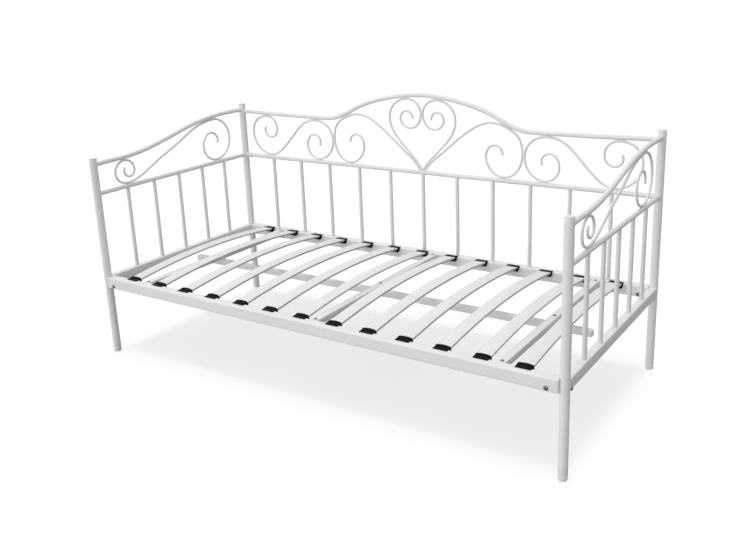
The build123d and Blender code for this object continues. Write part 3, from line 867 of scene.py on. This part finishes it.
def long_tube(sh, y, z, s):
    """Box tube along X, coped around the posts; s is the outward side."""
    w, h, e, wall = LONG_W, LONG_H, LONG_EDGE, LONG_WALL
    out, inn = dense(rounded(w, h, e, 7)), dense(rounded(w - 2 * wall, h - 2 * wall, e - wall, 7))
    lip, lip_in = out * (1 - 0.8 / w), inn * (1 + 0.5 / w)

    def at(o, back, side):
        side_x = []
        ys = []
        for q in o:
            d = s * q[0]
            x = LONG_X
            if abs(d) < POST_R + 1.2:
                x = min(x, POST_X - math.sqrt((POST_R + 1.2) ** 2 - d * d))
            if d < -2.8:
                x = min(x, POST_X - END_W / 2 - 1.7)
            x -= back
            # The outer wall curls in towards the post over its last stretch.
            t = max(0.0, (x - (LONG_X - 9.0)) / 9.0)
            curl = 4.5 * t * t * min(1.0, max(0.0, (d - 7.0) / 10.0))
            side_x.append(side * x)
            ys.append(y + q[0] - s * curl)
        return np.stack([side_x, ys, z + o[:, 1]], 1)
    steps = (60.0, 9.0, 7.0, 5.0, 3.5, 2.0, 0.5)
    rows = [at(out, b, -1) for b in steps[::-1]]
    rows += [np.stack([np.full(len(out), x), y + out[:, 0], z + out[:, 1]], 1) for x in (-500.0, 0.0, 500.0)]
    rows += [at(out, b, 1) for b in steps]
    rows += [at(lip, 0.0, 1)]
    inner = [at(lip_in, 0.0, 1)] + [at(inn, b, 1) for b in (0.4, 2.0, 4.0, 7.0, 12.0)]
    inner += [at(inn, b, -1) for b in (12.0, 7.0, 4.0, 2.0, 0.4)] + [at(lip_in, 0.0, -1)]
    if len(inn) != len(out):
        raise ValueError("outline counts differ")
    sh.rings(rows + inner + [at(lip, 0.0, -1)], closed=True)


z_long = FRAME_TOP - LONG_H / 2
for s, key in ((-1, "front"), (1, "back")):
    sh = Shells()
    long_tube(sh, s * POST_Y, z_long, s)
    piece("long_%s_tube" % key, sh, METAL, [key + "_rail"])

bar_low = BAR_TOP - BAR_T
wd = Shells()
for i, x in enumerate(BAR_X):
    sh = Shells()
    o = rounded(BAR_W, BAR_T, BAR_EDGE, 6)
    lip = rounded(BAR_W - 0.7, BAR_T - 0.7, BAR_EDGE - 0.35, 6)

    def at(q, y):
        return np.stack([x + q[:, 0], np.full(len(q), y), BAR_TOP - BAR_T / 2 + q[:, 1]], 1)
    rows = [at(lip, -INNER_Y + 0.05), at(o, -INNER_Y + 0.4), at(o, -200.0), at(o, 0.0), at(o, 200.0),
            at(o, INNER_Y - 0.4), at(lip, INNER_Y - 0.05)]
    sh.rings(rows)
    piece("cross_tube_%d" % (i + 1), sh, METAL, ["cross_bar_%d" % (i + 1)])

# Bent angle brackets under the bar ends.
sh = Shells()
for x in BAR_X:
    for s in (-1, 1):
        prof = []
        t, ro, ri = 3.0, 4.5, 1.5
        zc, zt = bar_low - ro, bar_low
        prof += [(0.0, bar_low - 19.0), (0.0, zc)]
        for j in range(1, 8):
            a = math.pi / 2 * j / 7
            prof.append((ro - ro * math.cos(a), zc + ro * math.sin(a)))
        prof += [(24.5, zt), (25.0, zt - 0.5), (25.0, zt - 2.5), (24.5, zt - t)]
        for j in range(7, -1, -1):
            a = math.pi / 2 * j / 7
            prof.append((ro - ri * math.cos(a), zc + ri * math.sin(a)))
        prof += [(3.0, bar_low - 19.0)]
        prism(sh, np.array(prof), x - 15, x + 15,
              lambda q, a, s=s: np.stack([np.full(len(q), a), s * (INNER_Y - q[:, 0]), q[:, 1]], 1), 0.5)
        # Bead along each side of the upright leg and under it.
        for e in (-1, 1):
            zz = np.linspace(bar_low - 18, bar_low - 5, 14)
            rows = []
            rng = np.random.default_rng(int(900 + x + 7 * s + 3 * e))
            ca, sa = circle(8)
            for j, z in enumerate(zz):
                r = 1.5 * (1 + 0.16 * math.cos(j * 2.4) + 0.1 * rng.normal()) * (0.5 if j in (0, 13) else 1.0)
                rows.append(np.stack([x + e * 15.2 + r * ca, s * (INNER_Y - 0.3) + r * sa, np.full(8, z)], 1))
            sh.rings(rows)
piece("bar_end_angles", sh, METAL, ["cross_bar_brackets"])

# Centre beam with rounded closing plugs let into its ends.
sh = Shells()
o = rounded(BEAM_W, BEAM_W, BEAM_EDGE, 6)
z_beam = bar_low - BEAM_W / 2


def beam_at(w, x, e):
    q = rounded(w, w, max(e, 0.5), 6)
    return np.stack([np.full(len(q), x), q[:, 0], z_beam + q[:, 1]], 1)


rows = [beam_at(20.4, -BEAM_X + 0.05, 2.2), beam_at(22.0, -BEAM_X + 0.3, 2.4), beam_at(23.6, -BEAM_X + 1.2, 2.8),
        beam_at(24.2, -BEAM_X + 2.4, 2.9), beam_at(24.3, -BEAM_X + 3.0, 2.9), beam_at(23.9, -BEAM_X + 3.2, 2.9),
        beam_at(24.6, -BEAM_X + 3.4, 2.9), beam_at(25.0, -BEAM_X + 3.8, 3.0)]
other = []
for q in rows:
    w = q.copy()
    w[:, 0] *= -1
    other.append(w)
rows = rows + [beam_at(25.0, x, 3.0) for x in (-600.0, -200.0, 200.0, 600.0)] + other[::-1]
sh.rings(rows)
piece("beam_tube", sh, METAL, ["centre_beam"])

# ------------------------------------------------------------------- slats
rise = SLAT_MID_Z - SLAT_END_Z
BOW = (SLAT_CHORD ** 2 + rise ** 2) / (2 * rise)
ZC = SLAT_MID_Z - BOW
section = rounded(SLAT_W, SLAT_T, 1.9, 4)
half_turn = math.asin(SLAT_CHORD / BOW)
for i in range(SLATS):
    x = (i - (SLATS - 1) / 2) * SLAT_PITCH
    rows, ply, edge = [], [], []
    stations = [(-half_turn + 0.25 / BOW, 0.94)] + [(a, 1.0) for a in np.linspace(
        -half_turn + 0.8 / BOW, half_turn - 0.8 / BOW, 61)] + [(half_turn - 0.25 / BOW, 0.94)]
    for a, k in stations:
        r = BOW + SLAT_T / 2 + section[:, 1] * (1.0 if k == 1.0 else 0.9)
        rows.append(np.stack([x + section[:, 0] * (1.0 if k == 1.0 else 0.99), r * math.sin(a), ZC + r * math.cos(a)], 1))
        ply += list(section[:, 1] / SLAT_T + 0.5)
        # edge marks the strip's side faces, which carry the ply lines and the painted shade.
        edge += list((np.abs(section[:, 0]) > SLAT_W / 2 - 1.2).astype(float))
    sh = Shells()
    sh.rings(rows)
    ply += [0.5, 0.5]
    edge += [1.0, 1.0]
    piece("sprung_slat_%02d" % (i + 1), sh, WOOD, ["slat_%02d" % (i + 1)],
          attrs={"ply": ply, "edge": edge})

# ------------------------------------------------------------ slat holders
HW, LIP, TOP = 28.0, 16.0, 353.0
HOOK_TOP = FRAME_TOP + 2.0


def slat_z(u, r):
    """Height of the strip's surface at a reach u from the rail's inner face."""
    y = INNER_Y - u
    return ZC + math.sqrt(r * r - y * y)


def crown(x, r):
    k = max(0.0, abs(x) - (HW - r))
    return TOP - (r - math.sqrt(max(r ** 2 - k * k, 0.0)))


def lip_top(u, x, r):
    slope = HOOK_TOP + (TOP - HOOK_TOP) * min(1.0, max(0.0, (u + 1.0) / LIP))
    return min(slope, crown(x, r))


def holder_shells(hook, IN, LIP_SIDE, SOCKET, WALL, CROWN):
    sh = Shells()
    BASE = SOCKET - 5.0

    def loft(xs, outline):
        rows = []
        for x in xs:
            p = np.array(outline(x))
            rows.append(np.stack([np.full(len(p), x), p[:, 0], p[:, 1]], 1))
        n, k = len(rows), len(rows[0])
        f = []
        for i in range(n - 1):
            for j in range(k):
                j2 = (j + 1) % k
                f.append((i * k + j, i * k + j2, (i + 1) * k + j2, (i + 1) * k + j))
        f.append(tuple(range(k))[::-1])
        f.append(tuple(range((n - 1) * k, n * k)))
        sh.add(np.vstack(rows), f)

    edge_x = [HW, HW - 0.12, HW - 0.4, HW - 0.9, HW - 1.6, HW - 2.4, HW - 3.2, HW - 4.2, HW - 6.0, HW - 9.0, HW - 13.0]
    full_x = [-e for e in edge_x] + [-9.0, -3.0, 3.0, 9.0] + edge_x[::-1]

    def reach(x):
        return LIP - (LIP - LIP_SIDE) * (x / HW) ** 2

    def lip_outline(x):
        soft = 0.35 if abs(x) > HW - 0.05 else (0.12 if abs(x) > HW - 0.3 else 0.0)
        far = reach(x)
        us = (far, far * 0.75, far * 0.5, far * 0.25, 1.2)
        zb = [slat_z(u, BOW + SLAT_T) + 0.05 for u in us]
        z1 = lip_top(far, x, CROWN)
        out = [(far - soft, min(zb[0] + soft, z1 - 0.9))]
        out += [(far - soft, z1 - 0.7), (far - 0.25 - soft, z1 - 0.2 - soft), (far - 0.8, z1 - soft)]
        out += [(far * k, lip_top(far * k, x, CROWN) - soft) for k in (0.81, 0.62, 0.44, 0.25)] + [(1.0, lip_top(1.0, x, CROWN) - soft)]
        out += [(0.05, lip_top(0.0, x, CROWN) - soft), (0.05, 341.0 + soft), (0.9, 341.0 + soft)]
        out += [(u, z) for u, z in zip(us[::-1], zb[::-1][:4])]
        return out
    loft(full_x, lip_outline)

    # Hook plate over the rail.
    r = 4.0
    plan = []
    for sx, a0 in ((1, 0), (-1, 90)):
        for j in range(7):
            a = math.radians(a0 + 15 * j)
            plan.append((sx * (HW - r) + r * math.cos(a), hook - r + r * math.sin(a)))
    plan += [(-HW, -4.0), (HW, -4.0)]
    plan = np.array(plan)
    prism(sh, plan, FRAME_TOP + 0.02, HOOK_TOP,
          lambda q, a: np.stack([q[:, 0], -q[:, 1], np.full(len(q), a)], 1), 0.45)

    # Side cheeks beside the strip.
    def cheek(x):
        k = max(0.0, abs(x) - (HW - 3.0))
        front = IN - (3.0 - math.sqrt(max(9.0 - k * k, 0.0)))
        far = reach(x)
        return [(0.05, SOCKET + 7.0), (9.0, SOCKET), (front - 1.0, SOCKET), (front - 0.3, SOCKET + 0.3), (front, SOCKET + 1.0),
                (front, WALL - 1.6), (front - 0.35, WALL - 0.7), (front - 1.0, WALL - 0.15), (front - 2.0, WALL),
                (far + 2.0, WALL), (far + 1.2, WALL + 0.2), (far + 0.4, WALL + 1.0), (far, lip_top(far, x, CROWN) - 0.8),
                (far * 0.5, lip_top(far * 0.5, x, CROWN) - 0.05), (0.05, lip_top(0.0, x, CROWN) - 0.05)]
    for s in (-1, 1):
        loft([s * e for e in (HW - 1.45, HW - 1.2, HW - 0.8, HW - 0.4, HW - 0.12, HW)], cheek)

    # Shelf under the strip and the plate on the rail, with ribs between.
    us = (0.6, 4.0, 7.0, 10.0, 13.0, IN - 0.6)
    shelf = [(IN - 0.2, slat_z(IN, BOW) - 0.5)] + [(u, slat_z(u, BOW) - 0.06) for u in us[::-1]]
    shelf += [(0.3, slat_z(0, BOW) - 2.5)] + [(u, slat_z(u, BOW) - 2.5) for u in us[1:-1]]
    shelf += [(IN - 0.8, slat_z(IN, BOW) - 2.5), (IN - 0.2, slat_z(IN, BOW) - 1.9)]
    prism(sh, np.array(shelf), -HW + 1.2, HW - 1.2,
          lambda q, a: np.stack([np.full(len(q), a), q[:, 0], q[:, 1]], 1), 0.3)
    plate = [(0.05, BASE + 0.4), (0.5, BASE), (2.2, BASE), (2.6, BASE + 0.4), (2.6, 338.4), (0.05, 338.4)]
    prism(sh, np.array(plate), -HW + 6.0, HW - 6.0,
          lambda q, a: np.stack([np.full(len(q), a), q[:, 0], q[:, 1]], 1), 0.3)
    for c in (-20.5, -10.5, 0.0, 10.5, 20.5):
        rib = [(1.0, BASE + 0.4), (9.6, BASE + 0.4), (12.6, BASE + 3.4), (13.2, SOCKET + 0.2), (IN - 2.0, SOCKET + 0.3),
               (IN - 1.2, SOCKET + 1.0), (IN - 1.2, 341.0), (1.0, 338.0)]
        prism(sh, np.array(rib), c - 0.9, c + 0.9,
              lambda q, a: np.stack([np.full(len(q), a), q[:, 0], q[:, 1]], 1), 0.25)
    return sh


for s, key, form in ((1, "back", (11.8, 24.0, 13.0, 331.0, 345.0, 6.0)), (-1, "front", (16.5, 16.5, 11.5, 337.0, 341.5, 4.0))):
    base = holder_shells(*form)
    v = np.vstack(base.v).copy()
    v[:, 1] = s * (INNER_Y - v[:, 1])
    sh = Shells()
    sh.add(v, base.f)
    shared = None
    for i in range(SLATS):
        x = (i - (SLATS - 1) / 2) * SLAT_PITCH
        ob = piece("slat_clip_%s_%02d" % (key, i + 1), sh, BLACK, ["slat_holders_" + key],
                   smooth=32.0, at=(x, 0, 0), mesh=shared)
        shared = ob.data


# ------------------------------------------------------------------- bolts
def domed_head(sh, centre, direction, r, h, socket=True, seg=48):
    """Domed head with a rolled rim and a hex socket, standing on its seat."""
    d = np.asarray(direction, float)
    d = d / np.linalg.norm(d)
    ref = np.array([0, 0, 1.0]) if abs(d[2]) < 0.9 else np.array([1.0, 0, 0])
    u = np.cross(d, ref)
    u /= np.linalg.norm(u)
    w = np.cross(d, u)
    a = np.arange(seg) * 2 * np.pi / seg
    hexr = math.cos(math.pi / 6) / np.cos((a + math.pi / 6) % (math.pi / 3) - math.pi / 6)
    key = r * 0.42
    R = (r * r + h * h) / (2 * h)

    def dome_h(q):
        return h - (R - math.sqrt(max(R * R - q * q, 0.0)))

    rows = []

    def row(rad, z):
        rad = np.broadcast_to(rad, (seg,))
        rows.append(np.asarray(centre) + np.outer(rad * np.cos(a), u) + np.outer(rad * np.sin(a), w) + z * d)
    row(r - 0.4, 0.0)
    row(r - 0.1, 0.12)
    row(r, 0.5)
    row(r - 0.15, 0.9)
    for q in (0.93, 0.86, 0.76, 0.66, 0.57):
        row(r * q, max(dome_h(r * q) * 0.96, 1.0))
    if socket:
        top = dome_h(key * 1.2) * 0.96
        row(key * 1.16 * hexr, top)
        row(key * 1.04 * hexr, top - 0.15)
        row(key * hexr, top - 0.5)
        row(key * hexr * 0.98, max(top - h * 0.62, 0.6))
        row(key * hexr * 0.5, max(top - h * 0.70, 0.45))
    else:
        row(r * 0.3, dome_h(r * 0.3) * 0.97)
    sh.rings(rows)


def hex_nut(sh, x, y, z0, z1, r):
    c = []
    for j in range(6):
        a = math.radians(60 * j)
        c.append((x + r * math.cos(a), y + r * math.sin(a)))
    dense = []
    for j in range(6):
        p, q = np.array(c[j]), np.array(c[(j + 1) % 6])
        dense += [p + (q - p) * k / 4 for k in range(4)]
    dense = np.array(dense)
    mid = np.array([x, y])

    def ring(k, z):
        rad = np.linalg.norm(dense - mid, axis=1)
        lim = np.minimum(rad, r * k)
        p = mid + (dense - mid) * (lim / rad)[:, None]
        return np.column_stack([p, np.full(len(p), z)])
    sh.rings([ring(0.86, z0), ring(0.93, z0 + 0.45), ring(1.0, z0 + 1.0), ring(1.0, z1 - 1.0),
              ring(0.93, z1 - 0.45), ring(0.86, z1)])


sh = Shells()
for y in (-POST_Y, POST_Y):
    for x in (-BOLT_X, BOLT_X):
        for s in (-1, 1):
            domed_head(sh, (x, y + s * LONG_W / 2, BOLT_Z), (0, s, 0), 8.3, 5.0)
        bar(sh, (x, y - LONG_W / 2 + 0.2, BOLT_Z), (x, y + LONG_W / 2 - 0.2, BOLT_Z), 4.0, 20)
for s in (-1, 1):
    xo = s * (POST_X + END_W / 2)
    domed_head(sh, (xo, -SIDE_BOLT_Y, SIDE_BOLT_Z), (s, 0, 0), 7.0, 4.0)
    bar(sh, (xo - s * 5.8, -SIDE_BOLT_Y, SIDE_BOLT_Z), (xo - s * 0.3, -SIDE_BOLT_Y, SIDE_BOLT_Z), 3.9, 20)
piece("frame_bolt_set", sh, BOLT, ["frame_bolts"], smooth=30.0)

sh = Shells()
for x in BAR_X:
    for y in (-BAR_BOLT_Y, BAR_BOLT_Y, 5.0):
        domed_head(sh, (x, y, BAR_TOP), (0, 0, 1), 6.5, 3.6)
        low = bar_low - 3 if y != 5.0 else bar_low - BEAM_W
        hex_nut(sh, x, y, low - 5.0, low - 0.05, 5.6)
        tip = bar_low - 9 if y != 5.0 else bar_low - BEAM_W - 7
        bar(sh, (x, y, tip), (x, y, BAR_TOP - 0.3), 2.95, 20, round0=0.5)
piece("bar_bolt_set", sh, BOLT, ["cross_bar_bolts"], smooth=30.0)

# ------------------------------------------------------------ floor, light
def flat(name, x0, x1, y0, y1, z, mat):
    me = bpy.data.meshes.new(name)
    me.from_pydata([(x0, y0, z), (x1, y0, z), (x1, y1, z), (x0, y1, z)], [], [(0, 1, 2, 3)])
    ob = bpy.data.objects.new(name, me)
    bpy.context.scene.collection.objects.link(ob)
    ob.data.materials.append(mat)
    return ob


floor = flat("floor", -60.0, 60.0, -60.0, 60.0, 0.0, floor_paint())
floor.visible_diffuse = floor.visible_glossy = False

# Soft studio surround: brightest overhead and to the front left, dimmest low
# down on the right. The backdrop itself stays white.
world = bpy.data.worlds.new("world")
bpy.context.scene.world = world
world.use_nodes = True
world.cycles.sampling_method = "NONE"
wt = world.node_tree
coord = wt.nodes.new("ShaderNodeTexCoord")
dot = wt.nodes.new("ShaderNodeVectorMath")
dot.operation = "DOT_PRODUCT"
dot.inputs[1].default_value = (-0.32, -0.20, 0.51)
add = wt.nodes.new("ShaderNodeMath")
add.operation = "ADD"
add.inputs[1].default_value = 0.67
low = wt.nodes.new("ShaderNodeMath")
low.operation = "MAXIMUM"
low.inputs[1].default_value = 0.03
soft = wt.nodes["Background"]
seen = wt.nodes.new("ShaderNodeBackground")
seen.inputs[1].default_value = 1.0
path = wt.nodes.new("ShaderNodeLightPath")
both = wt.nodes.new("ShaderNodeMixShader")
soft.inputs[0].default_value = seen.inputs[0].default_value = (1, 1, 1, 1)
wt.links.new(coord.outputs["Generated"], dot.inputs[0])
wt.links.new(dot.outputs["Value"], add.inputs[0])
wt.links.new(add.outputs[0], low.inputs[0])
wt.links.new(low.outputs[0], soft.inputs[1])
wt.links.new(path.outputs["Is Camera Ray"], both.inputs[0])
wt.links.new(soft.outputs[0], both.inputs[1])
wt.links.new(seen.outputs[0], both.inputs[2])
wt.links.new(both.outputs[0], wt.nodes["World Output"].inputs["Surface"])
bpy.context.scene.view_settings.view_transform = "Standard"

# Two lights for the floor alone: an even one nothing shades, and a weak one
# shaded over the bed's footprint by a card that nothing else sees.
card = flat("shadow_card", -1.02, 1.02, -0.41, 0.46, 0.10, floor.data.materials[0])
for ray in ("camera", "diffuse", "glossy", "transmission", "volume_scatter"):
    setattr(card, "visible_" + ray, False)
for name, energy, angle, shade in (("floor_even_light", 8.2, 5.0, floor), ("floor_light", 1.8, 48.0, card)):
    data = bpy.data.lights.new(name, "SUN")
    data.energy = energy
    data.angle = math.radians(angle)
    lamp = bpy.data.objects.new(name, data)
    bpy.context.scene.collection.objects.link(lamp)
    for role, ob in (("receiver_collection", floor), ("blocker_collection", shade)):
        group = bpy.data.collections.new(name + "_" + role)
        group.objects.link(ob)
        setattr(lamp.light_linking, role, group)

tris = sum(len(o.data.polygons) for o in bpy.context.scene.objects if o.type == "MESH" and not o.hide_render)
print("FACES SHOWN", tris)
